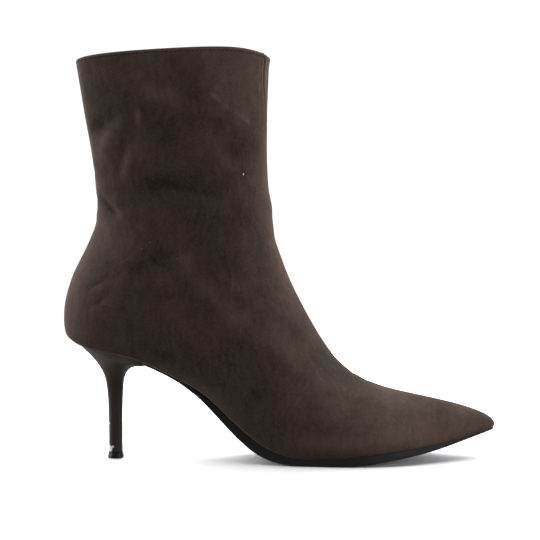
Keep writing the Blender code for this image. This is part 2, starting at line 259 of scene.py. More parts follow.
def makeRoom(s):
    # dim, a little lighter from below, and only the backdrop that the camera sees is white
    world = bpy.data.worlds.new("white_studio")
    world.use_nodes = True
    rays = addNode(world, "LightPath").outputs
    way = addNode(world, "SeparateXYZ", {0: addNode(world, "TexCoord").outputs["Generated"]})
    below = addNode(
        world,
        "MapRange",
        {"Value": rays["Is Glossy Ray"], "To Min": s["roomBelow"], "To Max": s["floorGloss"]},
    )
    glow = addNode(
        world,
        "MapRange",
        {
            "Value": way.outputs["Z"],
            "From Min": -s["roomFade"],
            "From Max": 0.0,
            "To Min": below.outputs["Result"],
            "To Max": s["roomAbove"],
        },
    )
    white = (1, 1, 1, 1)
    room = world.node_tree.nodes["Background"]
    room.inputs["Color"].default_value = white
    world.node_tree.links.new(glow.outputs["Result"], room.inputs["Strength"])
    backdrop = addNode(world, "Background", {"Color": white, "Strength": s["backdrop"]})
    either = addNode(
        world,
        "MixShader",
        {0: rays["Is Camera Ray"], 1: room.outputs[0], 2: backdrop.outputs[0]},
    )
    output = world.node_tree.nodes["World Output"]
    world.node_tree.links.new(either.outputs[0], output.inputs["Surface"])
    bpy.context.scene.world = world


def makeLights(s, floor):
    # the washes whiten the paper alone, the softboxes light all but the paper
    for kind, floorLit in (("softboxes", "EXCLUDE"), ("floorWashes", "INCLUDE")):
        reached = bpy.data.collections.new(kind + "_reach")
        reached.objects.link(floor)
        reached.collection_objects[0].light_linking.link_state = floorLit
        for box in s[kind]:
            light = bpy.data.lights.new(box["name"], "AREA")
            light.shape = "RECTANGLE"
            light.size, light.size_y = box["size"]
            light.energy = box["power"]
            light.diffuse_factor = 0.0 if box.get("gloss") else 1.0
            lamp = bpy.data.objects.new(box["name"], light)
            lamp.location = box["place"]
            aim = Vector(s["aim"]) - Vector(box["place"])
            lamp.rotation_euler = aim.to_track_quat("-Z", "Y").to_euler()
            lamp.visible_camera = False
            lamp.light_linking.receiver_collection = reached
            bpy.context.scene.collection.objects.link(lamp)


makeCamera(stageSettings)
makeRoom(stageSettings)
makeLights(stageSettings, makeFloor(stageSettings))
bpy.context.scene.view_settings.view_transform = "Standard"
print("stage ready")


# Suede upper: the solid's wall made fine, with its seams, topstitch channel and creases

upperSettings = {
    "levels": 2,
    "seamReach": 2.6,  # the wall is made finer this far to each side of a seam, by seamCuts
    "seamCuts": 2,
    "frontSeam": {
        "groove": 0.3,
        "grooveWidth": 0.5,
        "lip": 0.25,
        "lipAt": 1.6,
        "lipWidth": 0.9,
        "shade": 0.4,
    },
    "frontSeamFrom": 100.0,  # it runs in front of this, where the wall faces forward or up
    "frontSeamFacing": 0.25,
    "frontSeamAside": 0.6,  # how far to the inner side it lies
    "frontSeamLean": 0.0161,  # and how much further for each mm in front of frontSeamLeanFrom
    "frontSeamLeanFrom": 117.0,
    "frontSeamDrift": -11.8,  # how far it leans to the outer side at the collar
    "frontSeamDriftOver": (178.0, 215.0),
    "backSeam": {
        "groove": 0.35,
        "grooveWidth": 0.5,
        "lip": 0.2,
        "lipAt": 1.5,
        "lipWidth": 0.9,
        "shade": 0.4,
    },
    "backSeamTo": 40.0,
    "backSeamFacing": -0.3,
    "backSeamAside": 0.56,
    "collarFrom": 210.0,  # the top edge is above this
    "collarFacing": 0.7,  # faces of the top edge look up at least this much, and its points more
    "rimFacing": 0.9,
    "belowRimFrom": 200.0,  # depth below the top edge is measured above this height
    "collarBand": 4.0,  # the wall is made finer this far below it
    "notch": 0.5,  # the inner half's top edge sits lower at the front seam
    "notchStep": 1.2,
    "notchFade": (2.0, 15.0),
    "notchDepth": 6.0,
    "collarFlare": 0.8,  # the top edge turns out a little
    "collarFlareSides": 0.7,  # and less at its sides and back than in front
    "collarLift": 0.5,  # and rises a little at its back and front
    "collarFlareDepth": 6.0,
    "stitchDrop": 2.0,  # topstitch below the top edge
    "stitchPress": 0.2,
    "stitchWidth": 0.45,
    "stitchShade": 0.15,
    "marginFlat": (-0.85, -0.4),  # the margin that faces down this much stays flat
    "marginFacing": (-0.1, -0.6),
    "marginAt": (60, 115, 180),  # painted shade on the turned-under margin where it faces down, most in front of the waist
    "marginShade": (0.05, 0.45, 0.1),
    "napBase": 0.43,
    "paintedEdgeHighlight": 0.5,  # painted highlight along the folded top edge
    "paintedEdgeHighlightDepth": (0.8, 1.6),
    "edgeLifts": [  # the lower edge rises or drops: middle, half length, height
        (60, 16, -0.8),
        (81, 9, 1.0),
        (121, 28, -1.9),
    ],
    "edgeReach": 16.0,
    "edgeBelow": 60.0,
    "toeOver": (222.0, 244.6),  # over this length the toe's tip reaches further and droops
    "toeReach": 0.8,
    "toeDroop": 0.8,
    "swell": 0.25,  # slow unevenness of the soft shaft
    "swellMm": (13.0, 17.0, 19.0, 23.0),
    "swellBend": 0.6,
    "swellOver": (75.0, 120.0),
    "swellBelowRim": (2.0, 14.0),
    "outerFade": (-4.0, 6.0),  # the outer and the inner side overlap about the middle
    "innerFade": (-6.0, 4.0),
}

collarMiddle = (62.0, 0.0)

# A line through the middle of the leg and the foot, in mm from the heel's back
footLine = [
    Vector((62, 0, 260)),
    Vector((66, 0, 150)),
    Vector((72, 0, 105)),
    Vector((110, 0, 50)),
    Vector((150, 0, 22)),
    Vector((190, 0, 20)),
    Vector((238, 2, 19.5)),
]

# Creases: where each runs, in mm forward of the heel's back and up from the floor, its half width and
# its height, troughs below zero. A side of -1 is the outer side, 1 the inner side and 0 both.
creases = [
    {"path": [(18, 150), (24, 145.5), (29, 140.5), (35, 134)], "width": 2.4, "height": -1.2, "side": -1},
    {"path": [(18, 155), (24, 153), (31, 148), (38, 140)], "width": 3.0, "height": 0.8, "side": -1},
    {"path": [(14, 141), (20, 138), (28, 133), (38, 126)], "width": 3.0, "height": 0.7, "side": -1},
    {"path": [(40, 188), (31, 184), (26, 176), (25, 164)], "width": 3.8, "height": 0.9, "side": -1},
    {"path": [(15, 186), (22, 186), (36, 194)], "width": 3.6, "height": -0.8, "side": -1},
    {"path": [(46, 182), (38, 175), (34, 166), (34, 156)], "width": 3.0, "height": -1.0, "side": -1},
    {"path": [(44, 172), (40, 164), (38, 155)], "width": 2.4, "height": 0.7, "side": -1},
    {"path": [(17, 166), (22, 162), (30, 160)], "width": 3.0, "height": -0.7, "side": -1},
    {
        "path": [(62, 124), (72, 117), (88, 103), (101, 92), (114, 80)],
        "width": 6.5,
        "height": 0.8,
        "side": -1,
    },
    {"path": [(78, 124), (88, 113), (98, 104), (108, 97)], "width": 5.5, "height": -0.6, "side": -1},
    {"path": [(48, 118), (60, 108), (74, 98)], "width": 5.0, "height": -0.4, "side": -1},
    {"path": [(14, 94.5), (19, 97.5), (26, 101.5), (32, 104)], "width": 2.0, "height": -0.5, "side": -1},
    {"path": [(14, 84.5), (19, 87), (28, 92.5), (33, 94.5)], "width": 2.0, "height": -0.5, "side": -1},
    {"path": [(44.6, 186), (44.6, 197)], "width": 1.6, "height": 0.35, "side": -1},
    {"path": [(81, 206), (94, 197)], "width": 2.8, "height": 0.35, "side": -1},
    {"path": [(94, 197), (107, 187)], "width": 3.2, "height": 0.4, "side": -1},
    {"path": [(92, 143), (104, 143), (128, 143)], "width": 6.0, "height": 0.8, "side": 0},
    {"path": [(98, 124), (110, 124), (134, 124)], "width": 6.0, "height": -0.6, "side": 0},
    {"path": [(156, 40), (163, 46), (168, 52)], "width": 1.8, "height": -0.3, "side": 0},
    {"path": [(163, 36), (171, 43), (176, 48)], "width": 1.8, "height": -0.25, "side": 0},
    {"path": [(40, 160), (54, 153), (70, 152)], "width": 5.0, "height": -0.5, "side": -1},
    {"path": [(30, 150), (44, 143), (58, 140)], "width": 4.5, "height": 0.4, "side": 1},
    {"path": [(30, 142), (44, 135), (60, 131)], "width": 4.5, "height": -0.5, "side": 1},
]
creaseFade = 0.25  # share of its length over which a crease fades at each end

# Where the outer side is lighter or darker, in broad patches: partly the nap's own lie, partly painted light
# on lit rims and painted shade in folds and under bulges. Middle, half lengths, tilt in degrees from level
# and strength.
napAndPaintedLightPatches = [
    (82, 226, 28, 3.5, 0, 0.7),
    (84, 218, 9, 7, 0, 0.4),
    (60, 215, 42, 13, 0, 0.4),
    (78, 142, 40, 34, 0, -0.18),
    (52, 204, 9, 3.5, -15, 1.3),
    (64, 200, 6, 4, -20, 0.7),
    (97, 208, 12, 16, 0, 0.75),
    (45.2, 190.5, 1.6, 5, 0, 1.2),
    (28, 180, 8, 4, 40, 0.7),
    (26, 171, 4, 8, 0, 0.7),
    (37, 166, 4.5, 7, -10, 0.3),
    (80, 180, 9, 5, 0, 0.4),
    (93, 167, 9, 2.5, -50, 0.9),
    (115, 157, 5, 5, 0, 0.35),
    (23, 133, 8, 8, 20, 0.4),
    (71, 111, 8, 4.5, -62, 1.1),
    (83, 96, 11, 4.5, -42, 1.0),
    (98, 82, 14, 6, -45, 0.8),
    (125, 114, 31, 5, -72, 0.85),
    (127, 62, 17, 5, -56, 0.9),
    (150, 41, 10, 5, -35, 0.6),
    (167, 26, 34, 14, -8, 0.5),
    (165, 13.5, 40, 5, 0, 1.1),
    (183, 30, 2.5, 11, -8, 0.6),
    (203, 22, 24, 10, 3, 0.7),
    (227, 28, 6, 4, 0, 0.6),
    (231, 20, 10, 6, 5, 0.8),
    (60, 53, 10, 2.5, -27, 0.9),
    (77, 44, 12, 2.5, -38, 0.9),
    (93, 31, 12, 3, -50, 0.8),
    (8, 87, 6, 13, 0, 0.75),
    (10, 108, 5, 16, -25, 0.6),
    (10, 72, 8, 4, 0, 0.35),
    (29, 206, 15, 16, 0, -0.65),
    (11, 207, 7, 20, 0, -0.8),
    (18, 187, 9, 5, 0, -1.2),
    (21, 161, 7, 5, 0, -0.6),
    (22, 145.5, 5, 3.5, 0, -1.0),
    (75, 206, 5, 11, 0, -0.5),
    (61, 182, 5, 9, 0, -0.4),
    (88, 189, 8, 6, -20, -0.5),
    (115, 190, 4, 5, 0, -0.5),
    (102, 177, 12, 9, 0, -0.6),
    (60, 154, 34, 6, 4, -0.5),
    (52, 154, 14, 5, 4, -0.3),
    (76, 151, 11, 4, -5, -0.4),
    (94, 132, 13, 7, 0, -0.5),
    (89, 111, 16, 10, -50, -0.65),
    (113, 116, 5, 4, 0, -0.5),
    (50, 111, 15, 4.5, 26, -0.75),
    (26, 105, 10, 7, 30, -0.37),
    (36, 80, 24, 16, 0, -0.25),
    (92, 60, 26, 18, -40, -0.35),
    (116, 38, 20, 13, -42, -0.35),
    (60, 60, 6, 2.5, -15, -0.5),
    (133, 72, 6, 7, -30, -0.45),
    (146, 60, 16, 5, -49, -0.35),
    (164, 48, 12, 6, -25, -0.8),
    (208, 35.5, 25, 5.5, -14, -1.1),
    (213, 28, 6, 4, -10, -0.6),
    (211, 19, 6, 3, 10, -0.4),
]
napAndPaintedLightGain = 0.36

# Fine marks in the nap, most of them painted shade in creases and painted highlights on ridges and along the
# front
# seam: place forward, across and up, half length, half width, tilt and strength.
napMarksAndFoldLight = [
    ((44.8, -27, 191.5), 5.0, 1.8, 90, 0.32),
    ((88, -28, 201), 6.0, 2.2, -40, 0.32),
    ((94, -28, 196), 4.0, 2.0, -40, 0.15),
    ((102, -24, 191.5), 5.0, 2.4, -40, 0.28),
    ((105, -23, 189), 2.6, 2.0, -60, 0.4),
    ((111.6, -13, 209.5), 5.0, 1.1, 88, 0.4),
    ((37.5, -26, 112), 9.0, 0.9, 28, 0.14),
    ((27.8, -20, 141.3), 6.0, 2.2, -45, -0.4),
    ((30.5, -21, 147.5), 4.0, 2.6, 60, 0.25),
    ((33.0, -22, 139.5), 3.0, 1.8, -42, 0.2),
    ((22.0, -20, 99.2), 5.0, 1.8, 27, -0.2),
    ((23.7, -20, 89.8), 5.5, 1.8, 33, -0.24),
    ((163, -12, 46), 3.0, 0.5, 50, -0.3),
    ((168, -12, 44), 2.5, 0.5, 60, 0.3),
]
markReach = 34.0  # a mark stays on its own side of the boot

# Lint and dust caught in the nap: place forward, across and up, half width, half height and how white.
lint = [
    ((102.6, -25, 159.7), 0.45, 0.85, 1.0),
    ((47.2, -27, 118.3), 0.35, 0.35, 0.25),
    ((51.8, -27, 121.8), 0.35, 0.35, 0.25),
    ((66.4, -27, 113.0), 0.4, 0.25, 0.2),
    ((33.0, -24, 105.0), 0.3, 0.3, 0.15),
    ((114.5, -13, 128.0), 0.35, 0.3, 0.15),
]

suedeSettings = {
    "dark": "211b17",
    "light": "50423b",
    # the colour of the painted shade in grooves and on the turned-under margin
    "seamShade": "1a1411",
    "lint": "d8d2c8",
    "sheenTint": "c7b8aa",
    "sheen": 0.35,
    "mottleMm": 20.0,
    "mottleShare": 0.82,
    "swirlMm": 30.0,  # the brushed streaks wander over this length, by up to swirlReach
    "swirlReach": 22.0,
    "strokeMm": (3.2, 3.2, 8.0),
    "strokeTilt": 35.0,
    "strokeShare": 0.6,
    "fibreMm": 1.2,  # real fibres are about 0.1 mm, drawn coarser so that the nap shows
    "fibreShare": 0.62,
    "fibreHeight": 0.12,
}


def spotMask(material, place, spot, halfLength, halfWidth, tilt):
    # 1 in the middle of a small oval on the surface, 0 outside it
    oval = addNode(
        material,
        "Mapping",
        {
            "Vector": place,
            "Location": (heelBack + spot[0] * mm, spot[1] * mm, spot[2] * mm),
            "Rotation": (0, -math.radians(tilt), 0),
            "Scale": (halfLength * mm, markReach * mm, halfWidth * mm),
        },
        vector_type="TEXTURE",
    )
    away = addNode(material, "VectorMath", {0: oval.outputs["Vector"]}, operation="LENGTH")
    return addNode(
        material,
        "MapRange",
        {"Value": away.outputs["Value"], "From Min": 1.0, "From Max": 0.2},
        interpolation_type="SMOOTHSTEP",
    ).outputs["Result"]


def suedeMaterial(s):
    # brushed split suede: a matt nap that goes light or dark as it lies, with painted light and shade on its
    # outer side and a pale bloom at grazing angles
    material, shader = newMaterial(
        "brushed_brown_suede",
        Roughness=0.95,
        Specular_IOR_Level=0.05,
        Sheen_Weight=s["sheen"],
        Sheen_Roughness=0.45,
        Sheen_Tint=hexColour(s["sheenTint"]),
    )
    place = addNode(material, "TexCoord").outputs["Object"]
    # the nap's tone at each point, with the painted light and shade of the outer side in it
    nap = addNode(material, "Attribute", attribute_name="napTone").outputs["Fac"]
    # how much painted shade darkens the suede, in seam grooves, the stitch channel and on the turned-under
    # margin
    pressed = addNode(material, "Attribute", attribute_name="pressed").outputs["Fac"]
    mottle = addNode(
        material,
        "TexNoise",
        {
            "Vector": place,
            "Scale": 1 / (s["mottleMm"] * mm),
            "Detail": 7.0,
            "Roughness": 0.68,
            "Distortion": 0.4,
        },
    )
    swirl = addNode(material, "TexNoise", {"Vector": place, "Scale": 1 / (s["swirlMm"] * mm), "Detail": 1.0})
    wander = addNode(
        material,
        "VectorMath",
        {0: swirl.outputs["Color"], 1: [s["swirlReach"] * mm] * 3, 2: place},
        operation="MULTIPLY_ADD",
    )
    stretch = addNode(
        material,
        "Mapping",
        {
            "Vector": wander.outputs[0],
            "Rotation": (0, math.radians(s["strokeTilt"]), 0),
            "Scale": [1 / (size * mm) for size in s["strokeMm"]],
        },
    )
    stroke = addNode(material, "TexNoise", {"Vector": stretch.outputs["Vector"], "Scale": 1.0, "Detail": 4.0})
    fibre = addNode(
        material,
        "TexNoise",
        {"Vector": place, "Scale": 1 / (s["fibreMm"] * mm), "Detail": 3.0, "Roughness": 0.7},
    )
    tone = nap
    for texture, share in ((mottle, "mottleShare"), (stroke, "strokeShare"), (fibre, "fibreShare")):
        centred = addNode(material, "Math", {0: texture.outputs["Fac"], 1: 0.5}, operation="SUBTRACT")
        tone = addNode(
            material,
            "Math",
            {0: centred.outputs[0], 1: s[share], 2: tone},
            operation="MULTIPLY_ADD",
        ).outputs[0]
    # painted shade in creases and painted highlights on ridges, with a few nap streaks
    for spot, halfLength, halfWidth, tilt, strength in napMarksAndFoldLight:
        mark = spotMask(material, place, spot, halfLength, halfWidth, tilt)
        tone = addNode(material, "Math", {0: mark, 1: strength, 2: tone}, operation="MULTIPLY_ADD").outputs[0]
    colour = addNode(
        material,
        "Mix",
        {"Factor": tone, 6: hexColour(s["dark"]), 7: hexColour(s["light"])},
        data_type="RGBA",
    ).outputs[2]
    for spot, halfWidth, halfHeight, white in lint:
        speck = spotMask(material, place, spot, halfWidth, halfHeight, 0)
        cover = addNode(material, "Math", {0: speck, 1: white}, operation="MULTIPLY").outputs[0]
        colour = addNode(
            material,
            "Mix",
            {"Factor": cover, 6: colour, 7: hexColour(s["lint"])},
            data_type="RGBA",
        ).outputs[2]
    # painted shade: grooves and the down-facing margin take the dark seam colour
    shaded = addNode(
        material,
        "Mix",
        {"Factor": pressed, 6: colour, 7: hexColour(s["seamShade"])},
        data_type="RGBA",
    )
    bump = addNode(
        material,
        "Bump",
        {"Height": fibre.outputs["Fac"], "Strength": 0.6, "Distance": s["fibreHeight"] * mm},
    )
    return feedShader(material, shader, {"Base Color": shaded.outputs[2], "Normal": bump.outputs["Normal"]})


liningSettings = {
    "finish": "drum_dyed_lining_leather",
    "dark": "6b5a4c",
    "light": "8a7664",
    "cloudMm": 18.0,
    "grainMm": 0.9,
    "grainHeight": 0.1,
}


def liningMaterial(s):
    # drum-dyed leather: smooth and slightly satin, with a fine pebble
    material, shader = newMaterial(s["finish"], Roughness=0.6, Specular_IOR_Level=0.35)
    place = addNode(material, "TexCoord").outputs["Object"]
    cloud = addNode(material, "TexNoise", {"Vector": place, "Scale": 1 / (s["cloudMm"] * mm), "Detail": 4.0})
    grain = addNode(material, "TexVoronoi", {"Vector": place, "Scale": 1 / (s["grainMm"] * mm)})
    colour = addNode(
        material,
        "Mix",
        {"Factor": cloud.outputs["Fac"], 6: hexColour(s["dark"]), 7: hexColour(s["light"])},
        data_type="RGBA",
    )
    bump = addNode(
        material,
        "Bump",
        {"Height": grain.outputs["Distance"], "Strength": 0.25, "Distance": s["grainHeight"] * mm},
    )
    return feedShader(material, shader, {"Base Color": colour.outputs[2], "Normal": bump.outputs["Normal"]})


def nearPath(flat, path):
    # distance of each point to a path, and its share of the way along
    best = np.full(len(flat), np.inf)
    share = np.zeros(len(flat))
    steps = list(zip(path, path[1:]))
    total = sum(math.dist(start, end) for start, end in steps)
    gone = 0.0
    for start, end in steps:
        length = math.dist(start, end)
        way = (np.array(end) - np.array(start)) / length
        along = np.clip((flat - np.array(start)) @ way, 0, length)
        gap = np.linalg.norm(flat - np.array(start) - along[:, None] * way, axis=1)
        closer = gap < best
        best = np.where(closer, gap, best)
        share = np.where(closer, (gone + along) / total, share)
        gone += length
    return best, share


def facesFoot(face, s):
    # the lining looks towards the line through the middle of the foot and leg
    centre = face.calc_center_median() / mm
    if centre.z > s["collarFrom"] and face.normal.z > s["collarFacing"]:
        return False
    place = Vector((centre.x - heelBack / mm, centre.y, centre.z))
    spots = []
    for start, end in zip(footLine, footLine[1:]):
        share = intersect_point_line(place, start, end)[1]
        spots.append(start.lerp(end, min(max(share, 0), 1)))
    nearest = min(spots, key=lambda spot: (spot - place).length)
    return face.normal.dot(nearest - place) > 0


def suedePoints(bm):
    # the points that no lining face touches
    return np.array([all(face.material_index == 0 for face in vertex.link_faces) for vertex in bm.verts])


def seamGaps(place, normal, s):
    # signed distance across each seam, far off where the seam doesn't run
    x, y, z = place.T
    drift = s["frontSeamDrift"] * smoothStep(*s["frontSeamDriftOver"], z)
    ridge = s["frontSeamAside"] + s["frontSeamLean"] * np.clip(x - s["frontSeamLeanFrom"], 0, None)
    onFront = (x > s["frontSeamFrom"]) & (normal[:, 0] + normal[:, 2] > s["frontSeamFacing"])
    front = np.where(onFront, y - ridge - drift, farOff)
    onBack = (x < s["backSeamTo"]) & (normal[:, 0] < s["backSeamFacing"])
    back = np.where(onBack, y - s["backSeamAside"], farOff)
    return front, back


def collarDepth(place, normal, s):
    # how far each point lies below the top edge beside it
    rim = np.flatnonzero((place[:, 2] > s["collarFrom"]) & (normal[:, 2] > s["rimFacing"]))
    tree = KDTree(len(rim))
    for i in rim:
        tree.insert((place[i, 0], place[i, 1], 0), int(i))
    tree.balance()
    depth = np.full(len(place), farOff)
    for i in np.flatnonzero(place[:, 2] > s["belowRimFrom"]):
        nearest = tree.find((place[i, 0], place[i, 1], 0))[1]
        depth[i] = place[nearest, 2] - place[i, 2]
    return depth


def refine(bm, chosen, cuts):
    edges = [e for e in bm.edges if chosen[e.verts[0].index] and chosen[e.verts[1].index]]
    bmesh.ops.subdivide_edges(bm, edges=edges, cuts=cuts, use_grid_fill=True)
    bm.verts.index_update()


def creaseHeights(place, sides):
    height = np.zeros(len(place))
    for crease in creases:
        gap, share = nearPath(place[:, [0, 2]], crease["path"])
        ends = smoothStep(0, creaseFade, share) * smoothStep(1, 1 - creaseFade, share)
        height += crease["height"] * bell(gap, crease["width"]) * ends * sides[crease["side"]]
    return height


def shaftSwell(place, depth, s):
    # crossed waves of unlike lengths, so that no pattern shows
    x, y, z = place.T
    up, bend, along, across = s["swellMm"]
    wave = np.sin(z / up + s["swellBend"] * np.sin(x / bend)) * np.sin(x / along + y / across)
    return s["swell"] * wave * smoothStep(*s["swellOver"], z) * smoothStep(*s["swellBelowRim"], depth)


def napTone(place, depth, outerSide, s):
    # the nap's own tone, plus painted light and shade from the patches and a painted highlight along the top
    # edge
    tone = s["napBase"] + s["paintedEdgeHighlight"] * (1 - smoothStep(*s["paintedEdgeHighlightDepth"], depth))
    for x, z, halfLength, halfHeight, tilt, strength in napAndPaintedLightPatches:
        turn = math.radians(tilt)
        along = (place[:, 0] - x) * math.cos(turn) + (place[:, 2] - z) * math.sin(turn)
        across = (place[:, 2] - z) * math.cos(turn) - (place[:, 0] - x) * math.sin(turn)
        patch = bell(np.hypot(along / halfLength, across / halfHeight), 1.0)
        tone += napAndPaintedLightGain * strength * patch * outerSide
    return tone


def turnCollar(moved, place, front, depth, s):
    # the top edge turns out and rises, and steps down at the front seam
    turned = 1 - smoothStep(0, s["collarFlareDepth"], depth)
    outward = place[:, :2] - np.array(collarMiddle)
    outward /= np.linalg.norm(outward, axis=1)[:, None]
    flare = s["collarFlareSides"] + (1 - s["collarFlareSides"]) * outward[:, 0]
    moved[:, :2] += outward * (s["collarFlare"] * turned * flare)[:, None]
    notch = smoothStep(0, s["notchStep"], front) * (1 - smoothStep(*s["notchFade"], np.abs(front)))
    notch *= 1 - smoothStep(0, s["notchDepth"], depth)
    notch *= place[:, 0] > s["frontSeamFrom"]
    moved[:, 2] += s["collarLift"] * turned * outward[:, 0] ** 2 - s["notch"] * notch


def besideSole(bm, place, s):
    # 1 where the suede meets the sole, less with the distance from it
    soleShape = weldedCopy("outsole")
    sole = BVHTree.FromBMesh(soleShape)
    soleShape.free()
    beside = np.zeros(len(place))
    for i in np.flatnonzero(place[:, 2] < s["edgeBelow"]):
        beside[i] = 1 - smoothStep(0, s["edgeReach"], sole.find_nearest(bm.verts[i].co)[3] / mm)
    return beside


def makeUpper(s, suede, lining):
    bm = weldedCopy("upper")
    bm.normal_update()
    for face in bm.faces:
        face.material_index = int(facesFoot(face, s))
    bm = subdivided(bm, s["levels"], 180)

    place, normal = shoePlaces(bm)
    seamNear = np.abs(seamGaps(place, normal, s)).min(axis=0) < s["seamReach"]
    collarNear = collarDepth(place, normal, s) < s["collarBand"]
    refine(bm, suedePoints(bm) & (seamNear | collarNear), s["seamCuts"])
    print("upper refined to", len(bm.verts), "vertices")

    place, normal = shoePlaces(bm)
    front, back = seamGaps(place, normal, s)
    depth = collarDepth(place, normal, s)
    outside = suedePoints(bm)
    skin = outside * smoothStep(*s["marginFlat"], normal[:, 2])
    sides = {
        -1: 1 - smoothStep(*s["outerFade"], place[:, 1]),
        0: np.ones(len(place)),
        1: smoothStep(*s["innerFade"], place[:, 1]),
    }
    move = creaseHeights(place, sides) + shaftSwell(place, depth, s)

    # the seam grooves and the stitch channel darken, partly flattened nap, partly painted shade
    pressed = np.zeros(len(place))
    for gap, name in ((front, "frontSeam"), (back, "backSeam")):
        seam = s[name]
        groove = bell(gap, seam["grooveWidth"])
        move += seam["lip"] * bell(np.abs(gap) - seam["lipAt"], seam["lipWidth"]) - seam["groove"] * groove
        pressed = np.maximum(pressed, seam["shade"] * groove)
    channel = bell(depth - s["stitchDrop"], s["stitchWidth"])
    move -= s["stitchPress"] * channel
    pressed = np.maximum(pressed, s["stitchShade"] * channel) * skin
    # painted shade on the turned-under margin where it faces down
    marginShade = np.interp(place[:, 0], s["marginAt"], s["marginShade"])
    pressed = np.maximum(pressed, marginShade * outside * smoothStep(*s["marginFacing"], normal[:, 2]))

    moved = place + normal * (move * skin)[:, None]
    turnCollar(moved, place, front, depth, s)
    beside = besideSole(bm, place, s)
    for x, halfLength, lift in s["edgeLifts"]:
        moved[:, 2] += lift * bell(place[:, 0] - x, halfLength) * beside
    toe = smoothStep(*s["toeOver"], place[:, 0])
    moved[:, 0] += s["toeReach"] * toe ** 2
    moved[:, 2] -= s["toeDroop"] * toe
    moveTo(bm, moved, napTone=napTone(place, depth, sides[-1], s), pressed=pressed)
    return finishedPiece("suede_upper", bm, [suede, lining], "upper")


upper = makeUpper(upperSettings, suedeMaterial(suedeSettings), liningMaterial(liningSettings))


# Topstitch round the collar

stitchSettings = {
    "pitch": 2.35,
    "length": 1.25,
    "thick": 0.45,
    "sunk": 0.05,
    "drop": upperSettings["stitchDrop"],
    "samples": 1440,
    "probeOut": 200.0,  # rays that feel for the collar start this far out, and down, in or up
    "probeDown": 5.0,
    "probeIn": 0.8,
    "probeUp": 50.0,
    "dark": "080605",
    "light": "15100d",
    "twistMm": 0.4,
}


def threadMaterial(s):
    # bonded polyester thread: fine, dark and waxed dull
    material, shader = newMaterial("bonded_polyester_thread", Roughness=0.7, Specular_IOR_Level=0.15)
    place = addNode(material, "TexCoord").outputs["Object"]
    twist = addNode(material, "TexNoise", {"Vector": place, "Scale": 1 / (s["twistMm"] * mm), "Detail": 2.0})
    colour = addNode(
        material,
        "Mix",
        {"Factor": twist.outputs["Fac"], 6: hexColour(s["dark"]), 7: hexColour(s["light"])},
        data_type="RGBA",
    )
    return feedShader(material, shader, {"Base Color": colour.outputs[2]})


def stitchRoute(s):
    # points round the collar, each a set drop below the top edge, with the way the suede faces there
    tree = BVHTree.FromObject(upper, bpy.context.evaluated_depsgraph_get())
    up = Vector((0, 0, 1))
    middle = Vector((heelBack + collarMiddle[0] * mm, collarMiddle[1] * mm, 0))
    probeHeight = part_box("upper")[1].z - s["probeDown"] * mm
    route = []
    for i in range(s["samples"]):
        turn = 2 * math.pi * i / s["samples"]
        outward = Vector((math.cos(turn), math.sin(turn), 0))
        start = middle + outward * s["probeOut"] * mm
        side = tree.ray_cast(start + up * probeHeight, -outward)[0]
        top = tree.ray_cast(side - outward * s["probeIn"] * mm + up * s["probeUp"] * mm, -up)[0]
        route.append(tree.ray_cast(start + up * (top.z - s["drop"] * mm), -outward)[:2])
    return route


def makeStitches(s, thread):
    route = stitchRoute(s)
    lengths = [(route[i][0] - route[i - 1][0]).length for i in range(1, len(route))]
    gone = np.concatenate([[0], np.cumsum(lengths)])
    count = int(gone[-1] // (s["pitch"] * mm))
    size = Matrix.Diagonal((s["length"] / 2 * mm, s["thick"] / 2 * mm, s["thick"] / 2 * mm, 1))
    bm = bmesh.new()
    for wanted in np.arange(count) * gone[-1] / count:
        i = min(int(np.searchsorted(gone, wanted)), len(route) - 2)
        point, normal = route[i]
        along = (route[i + 1][0] - route[max(i - 1, 0)][0]).normalized()
        across = normal.cross(along).normalized()
        turn = Matrix((along, across, normal)).transposed().to_4x4()
        spot = Matrix.Translation(point - normal * s["sunk"] * mm)
        bmesh.ops.create_uvsphere(bm, u_segments=8, v_segments=6, radius=1.0, matrix=spot @ turn @ size)
    print("stitches", count)
    return finishedPiece("collar_stitches", bm, [thread])


makeStitches(stitchSettings, threadMaterial(stitchSettings))


# Covered heel, with its worn spot

heelSettings = {
    "levels": 2,
    "creaseAngle": 45.0,
    "sharpAngle": 50.0,
    "cuts": (  # heights where the stem is cut into rings, so that the chips have shape
        4.4, 5.2, 6.0, 6.8, 7.6, 8.4, 9.2, 10.0, 10.8, 11.6, 12.6, 14.0,
        20.0, 21.0, 22.0, 23.0, 24.0, 25.0,
    ),
    "chipDepth": 0.2,
    "chipRim": (0.35, 0.55),
    "chipSide": (-0.5, 1.5),
    "stemFull": 0.4,  # the cover's back and front stand this much fuller below the seat
    "stemOver": (38.0, 50.0),
    "stemFacing": 0.6,
    "seatHeights": (40.0, 60.0),  # the seat spreads between these
    "seatOver": (34.0, 48.0),  # its front edge thickens over this length, by seatThick
    "seatThick": 1.5,
    "seatRise": 0.9,  # the cover's top edge is drawn up against the suede
    "seatRiseFacing": (0.2, 0.6),
    "cornerFrom": 32.0,  # in front of this the seat's corners fill out, over the length and half width given
    "cornerReach": (15.4, 23.8),
    "cornerHeights": (46.0, 56.0),
    "cornerFill": 0.8,
    "cornerPower": 5,  # 2 would be a plain oval
    "dark": "2e2725",
    "light": "504641",
    "cloudMm": 9.0,
    "cloudShare": 0.25,
    "grainMm": 0.5,
    "grainHeight": 0.05,
    "paintedLightOver": (40.0, 60.0),  # painted light: the cover is paler where it spreads under the seat
    "paintedLightShare": 0.82,
    "bare": "c9c6c2",
    "raggedShare": 0.5,  # how much the grain roughens a chip's edge
    "raggedEdge": (0.68, 0.8),
    "roughness": 0.45,
    "bareRoughness": 0.75,
}

# Chips in the cover, at the back of its outer side: forward of the heel's back, up from the floor and
# half sizes.
heelChips = [
    (26.9, 5.3, 1.4, 1.9),
    (26.2, 6.9, 0.7, 1.0),
    (28.2, 6.5, 0.8, 0.8),
    (25.8, 19.6, 0.9, 0.8),
]


